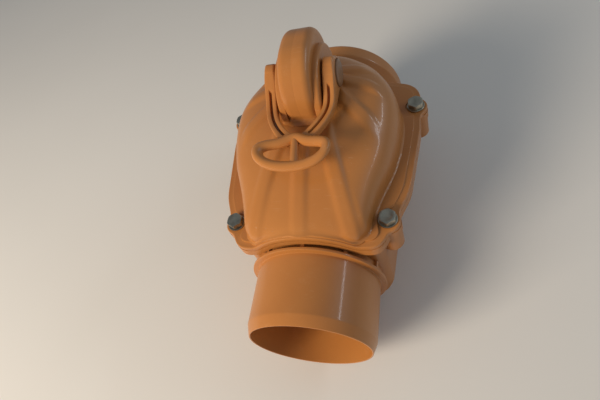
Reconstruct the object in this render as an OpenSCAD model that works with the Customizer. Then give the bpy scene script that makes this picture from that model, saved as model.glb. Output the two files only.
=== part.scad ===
// Backwater valve for a buried drain: chamber body with spigot and socket, hinged flap, bolted dome
// cover and a lever that turns a lock finger over the flap's horn.
// The pipe axis is Y, the socket's pipe stop is y = 0, the outlet points to -Y and up is +Z. Sizes in mm.

/* [Pipe ends] */
// outside diameter of the drain pipe that the valve joins
pipe_d = 110; // [100:0.5:114]
// wall of the outlet spigot
spigot_wall = 4; // [3.2:0.1:5]
// free length of the spigot, from its mouth to the collar
spigot_len = 59.5; // [50:0.5:90]
// length of the lead-in chamfer at the spigot's mouth
chamfer_len = 9; // [4:0.5:12]
// depth of that chamfer
chamfer_depth = 2.7; // [1:0.1:2.9]
// height of the collar over the spigot
collar_h = 5.3; // [3:0.1:7]
// thickness of the collar
collar_t = 2.8; // [2:0.1:4]
// small webs behind the collar
web_count = 10; // [6:1:16]
// thickness of one web
web_t = 3; // [2:0.1:4]
// depth of the socket
socket_depth = 62; // [56:1:80]
// radial clearance of a pipe in the socket
socket_clear = 0.3; // [0.15:0.05:0.45]
// wall of the socket
socket_wall = 3.8; // [3:0.1:4.4]
// width of the seal groove in the socket's bead
groove_w = 9; // [7:0.1:11]
// depth of that groove
groove_h = 7.6; // [5:0.1:9]
// plain lip between the groove and the socket's mouth
lip_len = 5; // [4:0.1:8]
// how far the seal's lip keeps back from the socket's bore
lip_back = 0.1; // [0:0.05:0.3]
// thickness of the seal's lip
lip_t = 2.2; // [1.6:0.1:2.6]
// rise of the lip's back towards its root
lip_rise = 0.9; // [0.4:0.1:1.5]
// thickness of the seal's base ring
seal_t = 2.4; // [1.8:0.1:3]
// length of the ramp from the socket to its bead
bead_ramp = 8; // [6:0.5:12]
// width of the bead beside its groove
bead_side = 1.8; // [1.2:0.1:3]
// rounding of the bead at the mouth, drawn as a bevel
mouth_edge = 2; // [1:0.1:3]
// chamfer inside the mouth
mouth_chamfer = 1.5; // [0.8:0.1:2]

/* [Chamber] */
// length from the collar to the pipe stop of the socket
chamber_len = 175.7; // [174:0.1:190]
// gap between the seat's rim and the chamber's belly
belly_gap = 1.45; // [0.8:0.05:4]
// wall of the chamber
body_wall = 4; // [3:0.1:5]
// thickness of the rear wall that carries the seat
rear_wall = 9; // [8:0.1:10]
// thickness of the socket's shoulder in that wall
stop_t = 3; // [2:0.1:3.5]
// width of the chamber's front wall beside the neck
front_side = 6; // [5:0.5:9]
// width of the chamber's rear wall beside the belly
rear_side = 7; // [6:0.5:9]
// rounding of the chamber's upright corners
chamber_round = 12; // [8:0.5:16]
// radius where the chamber's sides change from tapered to straight
chamber_bend = 90; // [60:5:120]
// gap between the collar and the flange
collar_gap = 3.2; // [2:0.1:5]
// overhang of the flange before the chamber's front wall
front_lip = 4.5; // [3:0.1:6]
// distance of each foot from the middle plane
foot_x = 36; // [30:0.5:42]
// width of a foot
foot_w = 8; // [6:0.5:12]
// length of a foot
foot_len = 124; // [90:1:130]
// how far the feet reach below the belly
foot_drop = 2.6; // [2.2:0.1:6]

/* [Flange and bolts] */
// height of the parting line over the pipe axis, beside the neck
seam_z = 46.5; // [45:0.1:48]
// height of the parting line's arch over the pipe
arch_rise = 8; // [7.5:0.1:10]
// fillet between the arch and the flat flange
arch_fillet = 14; // [10:0.5:18]
// thickness of the body's flange
body_flange_t = 8; // [6:0.1:9]
// thickness of the cover's flange
cover_flange_t = 5; // [4:0.1:6]
// height of the raised inner step of the cover's flange
step_t = 1.5; // [0.8:0.1:2.5]
// distance of that step from the flange's edge
step_in = 5.5; // [4:0.1:7]
// how far the flange's front corners reach beside the chamber
flange_front_out = 1; // [0:0.5:3]
// half width of the flange at its shoulder
flange_mid_w = 84; // [82:0.5:86]
// half width of the flange at its rear
flange_rear_w = 91.5; // [90:0.5:94]
// distance of the flange's shoulder behind its front edge
flange_mid_in = 54; // [50:0.5:58]
// distance before the pipe stop at which the flange has its rear width
flange_rear_in = 54; // [50:0.5:58]
// roundings of the flange's outline: front corner, shoulder, side, rear corner
flange_rounds = [14, 60, 90, 22];
// rounding of the flange's tail
tail_round = 120; // [90:5:140]
// length of the flange over the socket
flange_tail = 29; // [27:0.5:31]
// slope of the flange's rear edge, from the middle to the corner
flange_tail_slope = 26; // [22:0.5:28]
// place of the front bolts: distance outside the chamber's front corner
bolt_front_out = 6; // [5.5:0.1:7]
// place of the front bolts: distance behind the flange's front edge
bolt_front_in = 25; // [23:0.5:28]
// place of the rear bolts: half spacing
bolt_rear_x = 87.5; // [86:0.1:89]
// place of the rear bolts: distance before the pipe stop
bolt_rear_in = 25; // [22:0.5:28]
// radius of the flange's lobes at the bolts
lobe_r = 10.5; // [10:0.1:12]
// thread diameter of the cover bolts
bolt_d = 8; // [6:0.5:8]
// clearance round a bolt's shank
bolt_clear = 0.3; // [0.1:0.05:0.5]
// height of the bosses under the flange
boss_h = 21; // [17:0.5:26]
// how far a boss keeps back from its lobe's edge
boss_back = 0.8; // [0.4:0.1:1.5]
// free end of a bolt below its nut
bolt_tail = 2; // [1:0.1:4]
// room round a washer on its spot face
spot_gap = 1; // [0.5:0.1:1.5]
// thickness of the webs that carry the rear bosses
boss_web_t = 5; // [4:0.1:7]
// thickness of the cover gasket
gasket_t = 2; // [1.5:0.1:3]
// how far the gasket reaches outside the dome's foot
gasket_out = 1.5; // [1:0.1:2]
// side play of the gasket in its groove
gasket_play = 0.2; // [0.1:0.05:0.4]

/* [Dome] */
// radius of the dome's round rear
dome_r = 71; // [69:0.5:73]
// distance of that circle's centre before the pipe stop
dome_in = 45; // [43:0.5:47]
// taper of the dome's sides towards the outlet, in degrees
dome_taper = 9.5; // [8:0.1:11]
// rounding of the dome's front corners in plan
dome_corner = 14; // [10:0.5:18]
// width of the flange before the dome
dome_set = 3.5; // [3:0.1:5]
// wall of the cover
dome_wall = 4; // [3:0.1:4.5]
// height of the dome's crown over the pipe axis
crown_z = 102; // [100:0.1:102.5]
// fall of the crown to the front, in mm per square mm
crown_fall = 0.0018; // [0.0012:0.0001:0.0022]
// squareness of the dome's section
dome_power = 4.5; // [3:0.1:6]
// height of the dome's ribs
rib_h = 3; // [1:0.1:4]
// width of the dome's ribs
rib_w = 13; // [10:0.5:16]
// directions of the ribs on each side, in degrees from the outlet
rib_angles = [0, 16, 43, 70, 97];
// distance before the pipe stop of the point from which the ribs spread
rib_in = 22; // [15:1:35]
// share of the way out from the crown at which the ribs begin
rib_start = 0.3; // [0.2:0.02:0.4]
// share of that way at which they have their full height
rib_full = 0.46; // [0.42:0.02:0.8]
// share of the dome's height over which the ribs grow out of its foot
rib_grow = 0.7; // [0.4:0.05:0.8]

/* [Lock] */
// lever pivot: distance before the pipe stop
pivot_in = 42; // [41:0.1:43]
// lever pivot: height over the pipe axis
pivot_z = 117; // [116.5:0.1:119]
// radius of the fin
fin_r = 38.8; // [37:0.1:40]
// how far the fin's centre lies over the pivot
fin_rise = 2; // [1:0.1:3]
// how far the fin reaches down from the pivot into the dome
fin_depth = 22.5; // [21:0.1:24]
// thickness of the fin
fin_t = 28; // [26:0.5:30]
// rounding of the fin's edges
fin_round = 11; // [5:0.1:12]
// radius of the shoulders beside the fin
shoulder_r = 30; // [28:0.1:32]
// how far the shoulders' centre lies below the pivot
shoulder_drop = 6; // [5:0.1:7]
// thickness over both shoulders
shoulder_t = 38; // [36:0.5:39]
// rounding of the shoulders' edges
shoulder_round = 3; // [1:0.1:4]
// wall of the fin
fin_wall = 4; // [3:0.1:4.5]
// length of the lock finger from the pivot
finger_len = 26.5; // [26:0.1:27]
// width of the lock finger
finger_w = 11; // [9:0.1:11.5]
// half breadth of the finger's tip
finger_tip = 5; // [4:0.1:6]
// wall of the finger round the shaft
finger_wall = 4; // [3:0.1:5]
// turn of the lever from free to locked, in degrees
lock_turn = 135; // [120:1:145]
// diameter of the lever shaft
shaft_d = 12; // [11:0.1:13]
// running clearance of the shaft, on the radius
shaft_clear = 0.06; // [0.03:0.01:0.09]
// width of the square on the shaft's ends
square_w = 8.2; // [7:0.1:8.4]
// play of the square in the lever, on each side
square_play = 0.05; // [0.02:0.01:0.1]
// section of the shaft seals
oring_d = 2.4; // [2:0.1:3]
// side play of a shaft seal in its groove
oring_play = 0.2; // [0.1:0.05:0.3]
// diameter of the pin that keys the finger
key_d = 3; // [2:0.1:4]
// side gap between lever and shoulder
hub_gap = 1; // [0.5:0.1:1.5]
// width of a lever hub
hub_w = 9.5; // [8:0.1:11]
// radius of a lever hub
hub_r = 14; // [13:0.1:14.2]
// radius of the caps on the hubs
cap_r = 11.5; // [9:0.1:13]
// thickness of the caps
cap_t = 2; // [1.5:0.1:3]
// width of a lever arm
arm_w = 8.5; // [7:0.1:10]
// straight length of an arm before its bend
arm_straight = 30; // [26:0.5:34]
// radius of the arm's bend
arm_bend = 42; // [36:0.5:48]
// turn of that bend, in degrees
arm_turn = 52; // [46:0.5:54]
// side profile of an arm: distance forward of the pivot and height over it
arm_side = [[0, 14], [25, 14.5], [34, 12], [65, -2.4], [65, -11], [34, 0.5], [12, -7.2], [0, -14]];
// width of the slit in the arm's rim
slit_w = 2; // [1:0.1:3]
// depth of that slit
slit_depth = 4; // [2:0.1:6]
// how far the slit follows the arm's bend, in degrees
slit_turn = 38; // [20:0.5:42]
// half width of the finger ring, to the bar's middle
ring_w = 28; // [24:0.5:32]
// distance of the ring's middle from the pivot
ring_out = 75; // [72:0.5:80]
// how far the ring's middle lies below the pivot
ring_drop = 8.5; // [6:0.1:10]
// tilt of the ring, in degrees
ring_tilt = 10; // [4:0.5:14]
// reach of the ring's front bar
ring_front = 14.5; // [12:0.5:18]
// reach of the ring's back bar
ring_back = 11; // [9:0.5:13]
// height of the peak in the back bar
ring_peak = 4; // [0:0.1:5]
// half width of that peak
peak_w = 8; // [6:0.5:10]
// fullness of the ring's ends, front bar and back bar: less is squarer
ring_shape = [0.8, 0.9, 0.5];
// radius of the ring's bar
bar_r = 4; // [3:0.1:5]
// radius of the stem across the ring
stem_r = 3.5; // [2.5:0.1:4]

/* [Flap] */
// flap hinge: distance before the pipe stop
hinge_in = 23; // [22:0.1:24]
// flap hinge: height over the seat's opening
hinge_rise = 10.5; // [10:0.1:11]
// slope of the seat, in degrees
seat_tilt = 5; // [3:0.1:7]
// how far the seat's opening lies inside the pipe's outside
seat_in = 5.5; // [5:0.1:7]
// width of the seat's face
seat_w = 5.5; // [4.5:0.1:6]
// flange of the seat insert: radius over the seat's outside
seat_rim = 5.6; // [5.5:0.1:6]
// thickness of that flange
seat_rim_t = 4; // [3:0.1:5]
// thickness of the seat gasket
seat_gasket_t = 1.5; // [1:0.1:2.5]
// number of seat screws
seat_screw_count = 4; // [4:2:8]
// diameter of the small screws
screw_d = 4; // [3:0.1:4.2]
// head diameter of the small screws
screw_head = 5; // [4.6:0.1:5.2]
// head height of the small screws
screw_head_h = 2; // [1:0.1:2.5]
// room beyond a screw's tip, and beside its head
screw_gap = 0.25; // [0.1:0.05:0.3]
// thickness of the flap's disc
flap_t = 5; // [4:0.1:6]
// distance of the disc's seat side from the hinge axis
flap_face = 1; // [0.5:0.1:1.5]
// distance of the disc's flat top below the hinge axis
flap_top = 10; // [9:0.1:12]
// thickness of the flap's seal
flap_seal_t = 3; // [2:0.1:4]
// how far the seal keeps back from the disc's edge
seal_back = 0.5; // [0.2:0.1:1]
// width of the ring that clamps the seal
clamp_w = 12; // [10:0.5:14]
// gap between that ring and the seat's opening
clamp_gap = 2; // [1.5:0.1:3]
// thickness of that ring
clamp_t = 2.5; // [2:0.1:3]
// number of its screws
clamp_screw_count = 6; // [4:1:8]
// gap between the closed flap's seal and the seat
seat_gap = 0.1; // [0.05:0.05:0.4]
// diameter of the hinge pin
hinge_d = 8; // [6:0.1:9]
// running clearance of the hinge pin, on the radius
hinge_clear = 0.06; // [0.03:0.01:0.09]
// radius of the hinge barrel and the lugs
barrel_r = 7.5; // [7:0.1:8]
// gap round the barrel to the seat and the seal
barrel_clear = 0.4; // [0.3:0.05:0.6]
// half length of the flap's barrel
barrel_half = 21.5; // [19:0.1:23]
// side gap between barrel and lug
lug_gap = 0.5; // [0.3:0.1:1]
// thickness of a lug
lug_t = 6; // [5:0.1:8]
// height of the ribs on the flap's back
flap_rib_h = 5; // [3:0.1:7]
// thickness of the two upright ribs
flap_rib_t = 6; // [4:0.1:7]
// distance of those ribs from the middle plane
flap_rib_x = 15; // [13:0.1:17]
// length of those ribs below the hinge
flap_rib_len = 90; // [80:1:95]
// outside radius of the round rib
flap_ring_r = 34; // [28:0.5:38]
// thickness of the round rib
flap_ring_t = 4; // [3:0.1:5]
// gap between the flap's horn and the locked finger
horn_gap = 0.7; // [0.4:0.1:1.5]
// radius of the horn's tip
horn_tip = 4; // [3:0.1:4.2]
// length of the horn from the hinge
horn_len = 31; // [30:0.1:31.5]
// width of the horn
horn_w = 10; // [8:0.1:12]
// width of a hinge clip
clip_w = 1.2; // [0.8:0.1:1.5]
// depth of its groove in the pin
clip_d = 1; // [0.6:0.1:1.5]
// how far a clip stands over the pin
clip_out = 1.8; // [1.2:0.1:2.4]
// open mouth of a clip
clip_mouth = 4.8; // [3.5:0.1:5]

/* [Hidden] */
$fn = 72;
orange = [0.72, 0.33, 0.11];
deep_orange = [0.66, 0.29, 0.09];
zinc = [0.74, 0.75, 0.77];
rubber = [0.07, 0.07, 0.08];
far = 400;
arc_step = 3;
weld = 0.05;
lap = 1;
pipe_r = pipe_d / 2;
bore_r = pipe_r - spigot_wall;
socket_r = pipe_r + socket_clear;
bell_r = socket_r + socket_wall;
bead_r = socket_r + groove_h + socket_wall;
groove_y = socket_depth - lip_len - groove_w;
collar_r = pipe_r + collar_h;
collar_back = -chamber_len;
collar_face = collar_back - collar_t;
mouth_y = collar_face - spigot_len;
flange_y = collar_back + collar_gap;
wall_y = flange_y + front_lip;
neck_r = pipe_r + weld;
web_r = pipe_r + collar_gap;
seat_r = pipe_r - seat_in;
stub_r = seat_r + seat_w - weld;
rim_r = stub_r + seat_rim;
belly_r = rim_r + belly_gap + body_wall;
arch_r = pipe_r + arch_rise;
chamber_front_w = pipe_r + front_side;
chamber_rear_w = belly_r + rear_side;
flange_front_w = chamber_front_w + flange_front_out;
bolt_front_x = chamber_front_w + bolt_front_out;
hinge_z = seat_r + hinge_rise;
bead_top = groove_y - bead_side;
bead_end = groove_y + groove_w + bead_side;
foot_z = -belly_r - foot_drop;
foot_mid = (wall_y - bolt_rear_in) / 2;
bolt_r = bolt_d / 2;
hole_r = bolt_r + bolt_clear;
// the usual proportions of hexagon bolts, nuts and washers
nut_af = bolt_d * 13 / 8;
nut_h = bolt_d * 0.8;
head_h = bolt_d * 0.66;
washer_r = bolt_d;
washer_t = bolt_d * 0.2;
seat_z = seam_z + cover_flange_t;
boss_z = seam_z - body_flange_t - boss_h;
boss_r = lobe_r - boss_back;
bolt_end = boss_z - bolt_tail;
dome_y = -dome_in;
dome_front = flange_y + dome_set;
bolts = [for (s = [-1, 1]) each [
    [s * bolt_front_x, flange_y + bolt_front_in],
    [s * bolt_rear_x, -bolt_rear_in]]];
pivot = [0, -pivot_in, pivot_z];
fin_mid = pivot + [0, 0, fin_rise];
hinge = [0, -hinge_in, hinge_z];
shaft_r = shaft_d / 2;
hub_in = shoulder_t / 2 + hub_gap;
hub_out = hub_in + hub_w;
shaft_half = hub_in - hub_gap / 4;
slot_w = fin_t - 2 * fin_wall;
slot_r = fin_r - fin_wall;
groove_x = (slot_w / 2 + shoulder_t / 2) / 2;
finger_rest = lock_turn - 90;
pin_r = hinge_d / 2;
lug_in = barrel_half + lug_gap;
lug_out = lug_in + lug_t;
pin_half = lug_out + 2 * clip_w;
flap_r = seat_r + seat_w;
seal_out = flap_r - seal_back;
seat_plane = flap_face + flap_seal_t + seat_gap;
clamp_out = seat_r - clamp_gap;
clamp_in = clamp_out - clamp_w;
clamp_mid = (clamp_in + clamp_out) / 2;
clamp_face = flap_face + flap_seal_t / 2;
screw_r = screw_d / 2;
screw_ring = stub_r + screw_gap + screw_head / 2;
rim_y = -rear_wall - seat_gasket_t;
screw_in = rear_wall - stop_t - lap;
plug_r = square_w / 4;
horn_up = pivot_z - finger_len - horn_gap - horn_tip - hinge_z;
horn_lean = asin(min(1, horn_up / horn_len));

// a flat shape (x, z) drawn out along the pipe
module along_y(y0, y1) {
    translate([0, y1, 0]) rotate([90, 0, 0]) linear_extrude(y1 - y0) children();
}

// a flat shape (y, z) drawn out across the pipe
module along_x(x0, x1) {
    translate([x0, 0, 0]) rotate([90, 0, 90]) linear_extrude(x1 - x0) children();
}

// a profile (radius, y) turned about the pipe axis
module about_y() {
    rotate([-90, 0, 0]) rotate_extrude() children();
}

// a profile (radius, x) turned about a cross axis
module about_x() {
    rotate([0, 90, 0]) rotate_extrude() children();
}

module ring2(outer, inner) {
    difference() {
        circle(outer);
        circle(inner);
    }
}

module mirrored() {
    children();
    mirror([1, 0, 0]) children();
}

// unit vector, edge normal and inset of a closed outline that runs anticlockwise
function unit(v) = v / norm(v);
function out_normal(a, b) = unit([b[1] - a[1], a[0] - b[0]]);
function inset(p, d) = let (n = len(p)) [for (i = [0 : n - 1])
    let (a = out_normal(p[(i + n - 1) % n], p[i]), b = out_normal(p[i], p[(i + 1) % n]))
    p[i] - d * (a + b) / (1 + a * b)];

// points of an arc, of the hull of two circles, and of an outline with rounded corners
function arc(c, r, a0, a1) = let (n = ceil(abs(a1 - a0) / arc_step))
    [for (i = [0 : n]) let (a = a0 + (a1 - a0) * i / n) c + r * [cos(a), sin(a)]];
function link(r0, r1, l) = let (a = acos((r0 - r1) / l))
    concat(arc([0, 0], r0, a, 360 - a), arc([l, 0], r1, -a, a));
function rounded(p, r) = let (n = len(p)) [for (i = [0 : n - 1])
    let (a = unit(p[(i + n - 1) % n] - p[i]), b = unit(p[(i + 1) % n] - p[i]), half = acos(a * b) / 2,
        c = p[i] + unit(a + b) * r[i] / sin(half), d = p[i] + a * r[i] / tan(half) - c,
        a0 = atan2(d[1], d[0]))
    each arc(c, r[i], a0, a0 + 180 - 2 * half)];

flange_half = [[flange_front_w, flange_y], [flange_mid_w, flange_y + flange_mid_in],
    [flange_rear_w, -flange_rear_in], [flange_rear_w, flange_tail - flange_tail_slope]];
flange_pts = concat(flange_half, [[0, flange_tail]],
    [for (i = [3 : -1 : 0]) [-flange_half[i][0], flange_half[i][1]]]);
flange_rad = concat(flange_rounds, [tail_round], [for (i = [3 : -1 : 0]) flange_rounds[i]]);

// plan of the flange, drawn in by d, with its bolt lobes
module flange_plan(d, lobes) {
    polygon(rounded(inset(flange_pts, d), [for (r = flange_rad) r - d]));
    if (lobes) for (b = bolts) translate(b) circle(lobe_r);
}

// section under a saddle surface that lies o over the parting line: flat beside the neck, arched on it
module saddle(o) {
    z = seam_z + o;
    mid = [sqrt(pow(arch_r + arch_fillet, 2) - pow(seam_z + arch_fillet, 2)), seam_z + arch_fillet];
    lean = atan2(mid[1], mid[0]);
    half = concat([[far / 2, -far], [far / 2, z]], arc(mid, arch_fillet - o, 270, 180 + lean));
    polygon(concat(half, arc([0, 0], arch_r + o, lean, 180 - lean),
        [for (i = [len(half) - 1 : -1 : 0]) [-half[i][0], half[i][1]]]));
}

// layer between two saddle surfaces over the given length
module layer(a, b, y0, y1) {
    along_y(y0, y1) difference() {
        saddle(b);
        saddle(a);
    }
}

// plan of the dome's foot, drawn out by o: round rear, tapered sides, rounded front corners
corner_y = dome_front + dome_corner;
corner_x = (dome_r - dome_corner + (corner_y - dome_y) * sin(dome_taper)) / cos(dome_taper);
side_dir = [cos(dome_taper), -sin(dome_taper)];
module dome_plan(o) {
    polygon(concat(arc([0, dome_y], dome_r + o, -dome_taper, 180 + dome_taper),
        arc([-corner_x, corner_y], dome_corner + o, 180 + dome_taper, 270),
        arc([corner_x, corner_y], dome_corner + o, 270, 360 - dome_taper)));
}

module chamber_plan(d) {
    p = [[chamber_front_w, wall_y], [chamber_rear_w, dome_y], [chamber_rear_w, 0]];
    half = concat(p, [for (i = [2 : -1 : 0]) [-p[i][0], p[i][1]]]);
    r = [chamber_round, chamber_bend, 2 * chamber_round];
    polygon(rounded(inset(half, d), [for (i = [0, 1, 2, 2, 1, 0]) r[i] - d]));
}

// section of the chamber, drawn in by d: upright sides over an oval belly
module belly(d) {
    w = chamber_rear_w + lap - d;
    polygon(concat([[w, far], [-w, far]],
        [for (a = [180 : arc_step : 360]) [w * cos(a), (belly_r - d) * sin(a)]]));
}

module hexagon(af) {
    circle(af / sqrt(3), $fn = 6);
}

// places of the seat screws, at y, facing the rear wall
module at_seat_screws(y) {
    for (i = [0 : seat_screw_count - 1]) rotate([0, (i + 0.5) * 360 / seat_screw_count, 0])
        translate([screw_ring, y, 0]) rotate([-90, 0, 0]) children();
}

// body: chamber with oval belly, arched flange, bolt bosses with nut pockets, feet
module valve_body() {
    color(orange) difference() {
        union() {
            intersection() {
                linear_extrude(2 * far, center = true) chamber_plan(0);
                along_y(-far, far) intersection() {
                    belly(0);
                    saddle(-lap);
                }
            }
            intersection() {
                linear_extrude(far) flange_plan(0, true);
                layer(-body_flange_t, 0, flange_y - lap, flange_tail + lap);
            }
            for (b = bolts) translate([b[0], b[1], boss_z]) cylinder(r = boss_r, h = boss_h + 2 * lap);
            for (s = [-1, 1]) translate([s * (bolt_rear_x + chamber_rear_w - body_wall) / 2,
                -bolt_rear_in, boss_z + boss_h / 2 + lap])
                cube([bolt_rear_x - chamber_rear_w + body_wall, boss_web_t, boss_h + 2 * lap], center = true);
            for (s = [-1, 1]) translate([s * foot_x, foot_mid, (foot_z - belly_r / 2) / 2])
                cube([foot_w, foot_len, -belly_r / 2 - foot_z], center = true);
        }
        intersection() {
            linear_extrude(2 * far, center = true) chamber_plan(body_wall);
            along_y(wall_y + body_wall, -rear_wall) intersection() {
                belly(body_wall);
                saddle(-body_flange_t);
            }
        }
        intersection() {
            linear_extrude(far) dome_plan(-dome_wall);
            translate([-far / 2, wall_y + body_wall, 0]) cube([far, -wall_y - body_wall - rear_wall, far]);
        }
        intersection() {
            linear_extrude(far) difference() {
                dome_plan(gasket_out + gasket_play);
                dome_plan(-dome_wall - gasket_play);
            }
            layer(-gasket_t, lap, flange_y, flange_tail + lap);
        }
        along_y(wall_y - far, wall_y + body_wall + lap) circle(neck_r, $fn = 144);
        along_y(-far, wall_y) circle(web_r, $fn = 144);
        along_y(-rear_wall - lap, 0) circle(stub_r + weld, $fn = 144);
        along_y(-stop_t, far) circle(bell_r + weld, $fn = 144);
        for (b = bolts) translate(b) {
            cylinder(r = hole_r, h = far);
            translate([0, 0, boss_z - lap]) linear_extrude(nut_h + lap) hexagon(nut_af + 2 * bolt_clear);
        }
        at_seat_screws(-rear_wall) cylinder(r = screw_r + weld, h = screw_in);
    }
}

// outlet: plain spigot with lead-in chamfer, collar and short webs, welded into the chamber's front
module outlet_spigot() {
    color(orange) union() {
        about_y() polygon([[bore_r, mouth_y], [pipe_r - chamfer_depth, mouth_y],
            [pipe_r, mouth_y + chamfer_len], [pipe_r, collar_face], [collar_r, collar_face],
            [collar_r, collar_back], [pipe_r, collar_back], [pipe_r, wall_y + body_wall],
            [bore_r, wall_y + body_wall]]);
        for (i = [0 : web_count - 1]) rotate([0, (i + 0.5) * 360 / web_count, 0])
            translate([pipe_r - spigot_wall / 2, collar_back - collar_t / 2, -web_t / 2])
                cube([collar_gap - bolt_clear + spigot_wall / 2, wall_y - collar_back + collar_t / 2, web_t]);
    }
}

// inlet: socket with pipe stop, seal bead and mouth, welded to the chamber's rear
module inlet_socket() {
    color(orange) difference() {
        about_y() polygon([[seat_r, -rear_wall], [stub_r, -rear_wall], [stub_r, -stop_t], [bell_r, -stop_t],
            [bell_r, bead_top - bead_ramp], [bead_r, bead_top], [bead_r, bead_end],
            [bead_r - mouth_edge, socket_depth], [seat_r, socket_depth]]);
        along_y(0, far) circle(socket_r, $fn = 144);
        along_y(groove_y, groove_y + groove_w) circle(socket_r + groove_h, $fn = 144);
        about_y() polygon([[0, socket_depth - mouth_chamfer], [socket_r, socket_depth - mouth_chamfer],
            [socket_r + 2 * mouth_chamfer, socket_depth + mouth_chamfer], [0, socket_depth + mouth_chamfer]]);
    }
}

// lip seal in the socket's groove, its lip drawn flush with the bore
module socket_seal() {
    tip = socket_r + lip_back;
    root = socket_r + groove_h;
    color(rubber) about_y() polygon([[tip, groove_y + lip_t], [tip + lip_t, groove_y], [root, groove_y],
        [root, groove_y + groove_w], [root - seal_t, groove_y + groove_w],
        [root - seal_t, groove_y + 2 * lip_t + lip_rise], [tip, groove_y + 2 * lip_t]]);
}

// all that lies before the seat's sloping plane, up to height z from the hinge
module before_seat(z) {
    at_flap() translate([-far / 2, seat_plane - far, z - far]) cube(far);
}

// seat: tube with a sloping seat face, fixing rim and two hinge lugs
module seat_insert() {
    lug_low = seat_r / 2;
    lug_front = hinge[1] + barrel_r - lap;
    color(deep_orange) difference() {
        union() {
            difference() {
                along_y(-hinge_in - stub_r / 4, rim_y) circle(stub_r, $fn = 144);
                before_seat(far / 2);
                translate(hinge) rotate([0, 90, 0])
                    cylinder(r = barrel_r + barrel_clear, h = 2 * lug_in, center = true);
            }
            along_y(rim_y - seat_rim_t, rim_y) circle(rim_r, $fn = 144);
            for (x = [-lug_out, lug_in]) along_x(x, x + lug_t) polygon([[hinge[1], hinge_z + barrel_r - lap],
                [hinge[1], hinge_z], [lug_front, hinge_z - lap], [lug_front, lug_low],
                [rim_y - lap, lug_low], [rim_y - lap, hinge_z - barrel_r]]);
            for (x = [-lug_out, lug_in]) translate([x, hinge[1], hinge_z]) rotate([0, 90, 0])
                cylinder(r = barrel_r, h = lug_t);
        }
        along_y(-far, far) circle(seat_r, $fn = 144);
        before_seat(-barrel_r - lap);
        translate(hinge) rotate([0, 90, 0]) cylinder(r = pin_r + hinge_clear, h = far, center = true);
        at_seat_screws(rim_y - far) cylinder(r = screw_r + weld, h = 2 * far);
    }
}

// flat gasket between the seat's rim and the rear wall
module seat_gasket() {
    color(rubber) difference() {
        along_y(rim_y, -rear_wall) ring2(rim_r, seat_r);
        at_seat_screws(-far) cylinder(r = screw_r + weld, h = 2 * far);
    }
}

module screw(length) {
    cylinder(r = screw_r, h = length);
    translate([0, 0, -screw_head_h]) cylinder(d = screw_head, h = screw_head_h);
}

// screws that hold the seat's rim on the rear wall
module seat_screws() {
    color(zinc) at_seat_screws(rim_y - seat_rim_t) screw(seat_rim_t + seat_gasket_t + screw_in - screw_gap);
}

// the flap's own frame: hinge at the origin, disc hanging down, seat side +Y
module at_flap() {
    translate(hinge) rotate([-seat_tilt, 0, 0]) children();
}

module flap_disc(y0, y1, outer, inner) {
    translate([0, 0, -hinge_z]) along_y(y0, y1) difference() {
        circle(outer, $fn = 144);
        if (inner > 0) circle(inner);
    }
}

// places of the clamp screws, at y, facing the flap
module at_clamp_screws(y) {
    translate([0, y, -hinge_z]) for (i = [0 : clamp_screw_count - 1])
        rotate([0, i * 360 / clamp_screw_count, 0]) translate([0, 0, clamp_mid]) rotate([90, 0, 0])
            children();
}

// flap: disc with upright and round ribs, hinge barrel and the horn that the lock finger holds down
module flap() {
    back = flap_face - flap_t;
    color(deep_orange) at_flap() difference() {
        union() {
            difference() {
                flap_disc(back, flap_face, flap_r, 0);
                translate([-far / 2, -far / 2, -flap_top]) cube(far);
            }
            flap_disc(back - flap_rib_h, back, flap_ring_r, flap_ring_r - flap_ring_t);
            for (s = [-1, 1]) along_x(s * flap_rib_x - flap_rib_t / 2, s * flap_rib_x + flap_rib_t / 2)
                polygon([[lap - barrel_r, 0], [flap_face, 0], [flap_face, -hinge_z], [back, -flap_rib_len],
                    [back - flap_rib_h, 2 * flap_rib_h - flap_rib_len]]);
            rotate([0, 90, 0]) cylinder(r = barrel_r, h = 2 * barrel_half, center = true);
            rotate([seat_tilt - horn_lean, 0, 0]) along_x(-horn_w / 2, horn_w / 2)
                polygon([for (p = link(barrel_r - lap, horn_tip, horn_len)) -p]);
        }
        rotate([0, 90, 0]) cylinder(r = pin_r + hinge_clear, h = far, center = true);
        at_clamp_screws(flap_face + lap) cylinder(r = screw_r + weld, h = flap_t);
    }
}

// rubber ring on the flap's seat side, hollowed round the hinge barrel
module flap_seal() {
    color(rubber) at_flap() difference() {
        translate([0, 0, -hinge_z]) about_y() polygon([[clamp_in, flap_face], [seal_out, flap_face],
            [seal_out, flap_face + flap_seal_t], [clamp_out + seal_back, flap_face + flap_seal_t],
            [clamp_out + seal_back, clamp_face], [clamp_in, clamp_face]]);
        rotate([0, 90, 0]) cylinder(r = barrel_r + barrel_clear, h = far, center = true);
        at_clamp_screws(far / 2) cylinder(r = screw_r + weld, h = far);
    }
}

// ring that clamps the seal to the flap
module seal_clamp() {
    color(deep_orange) at_flap() difference() {
        flap_disc(clamp_face, clamp_face + clamp_t, clamp_out, clamp_in);
        at_clamp_screws(far / 2) cylinder(r = screw_r + weld, h = far);
    }
}

// screws of the clamp ring
module clamp_screws() {
    color(zinc) at_flap() at_clamp_screws(clamp_face + clamp_t)
        screw(clamp_t + clamp_face - flap_face + flap_t - lap - screw_gap);
}

// hinge pin with a groove for a clip at each end
module hinge_pin() {
    color(zinc) translate(hinge) about_x() difference() {
        translate([0, -pin_half]) square([pin_r, 2 * pin_half]);
        for (s = [-1, 1]) translate([pin_r - clip_d, s * (lug_out + clip_w / 2 + weld) - clip_w / 2])
            square([2 * clip_d, clip_w]);
    }
}

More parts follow.
